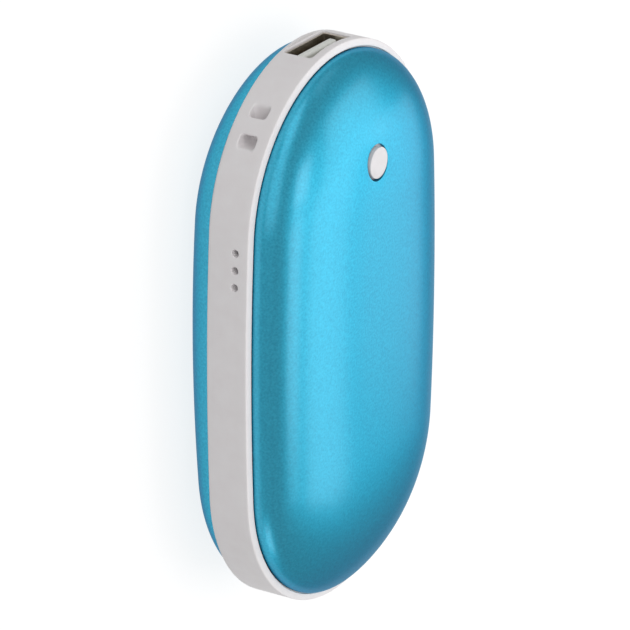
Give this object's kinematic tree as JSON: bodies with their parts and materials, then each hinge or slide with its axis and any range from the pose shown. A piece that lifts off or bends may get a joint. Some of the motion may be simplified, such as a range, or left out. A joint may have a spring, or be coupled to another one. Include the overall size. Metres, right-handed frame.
{
  "type": "rechargeable hand warmer",
  "caption": "Pebble-shaped rechargeable hand warmer: two blue metal shells on a pale band, with a power button, USB-A output, charging socket, lanyard loop and indicator windows.",
  "frame": {"origin": "on the resting plane of the back shell, under the middle of the body", "axes": "+Z out through the front shell and its button, +Y along the body towards the USB-A end, +X across to the charging socket's side"},
  "size_m": [0.06, 0.105, 0.0266],
  "materials": {
    "shell_metal": "blue satin anodised, fine grain",
    "band_plastic": "pale moulded ABS, satin",
    "button_plastic": "pale moulded ABS, soft gloss",
    "bond_adhesive": "dark adhesive film",
    "carrier_plastic": "black moulded ABS",
    "screw_steel": "zinc plated",
    "cell_pouch": "matt laminated pouch foil",
    "tape_film": "double sided tape",
    "circuit_board": "solder mask over glass laminate",
    "pad_foam": "closed cell foam",
    "heater_film": "polyimide film",
    "lead_jacket": "silicone jacket",
    "socket_metal": "nickel plated",
    "usb_tongue_plastic": "pale moulded nylon",
    "contact_metal": "gold plated",
    "black_plastic": "black moulded",
    "lamp_resin": "cast resin",
    "clear_guide": "smoked clear polycarbonate",
    "ferrite": "pressed ferrite",
    "capacitor_ceramic": "ceramic"
  },
  "bodies": {
    "case": {"front_shell": "shell_metal", "back_shell": "shell_metal", "mid_frame": "band_plastic", "front_bond_ring": "bond_adhesive", "back_bond_ring": "bond_adhesive", "inner_carrier": "carrier_plastic", "carrier_screws": "screw_steel", "battery_cell": "cell_pouch", "cell_tape": "tape_film", "protection_board": "circuit_board", "front_foam_pad": "pad_foam", "back_foam_pad": "pad_foam", "front_heater": "heater_film", "back_heater": "heater_film", "heater_leads": "lead_jacket", "battery_leads": "lead_jacket", "main_board": "circuit_board", "board_screws": "screw_steel", "usb_a_shell": "socket_metal", "usb_a_tongue": "usb_tongue_plastic", "usb_a_contacts": "contact_metal", "charge_socket_shell": "socket_metal", "charge_socket_tongue": "black_plastic", "charge_socket_contacts": "contact_metal", "status_leds": "lamp_resin", "light_guide": "clear_guide", "switch_base": "black_plastic", "switch_dome": "contact_metal", "switch_cover": "socket_metal", "button_retainer": "carrier_plastic", "control_chip": "black_plastic", "power_inductor": "ferrite", "capacitors": "capacitor_ceramic", "power_transistors": "black_plastic", "thermistor": "black_plastic"},
    "button": {"power_button": "button_plastic"},
    "plunger": {"switch_plunger": "black_plastic"}
  },
  "joints": [
    {"name": "button_press", "type": "slide", "parent": "case", "child": "button", "axis": [0, 0, -1], "range_m": [0, 0.0003], "stiffness_N_per_m": 600},
    {"name": "plunger_press", "type": "slide", "parent": "case", "child": "plunger", "axis": [0, 0, -1], "range_m": [0, 0.0003], "stiffness_N_per_m": 600}
  ],
  "couplings": [
    {"joint": "plunger_press", "follows": "button_press", "ratio": 1}
  ]
}
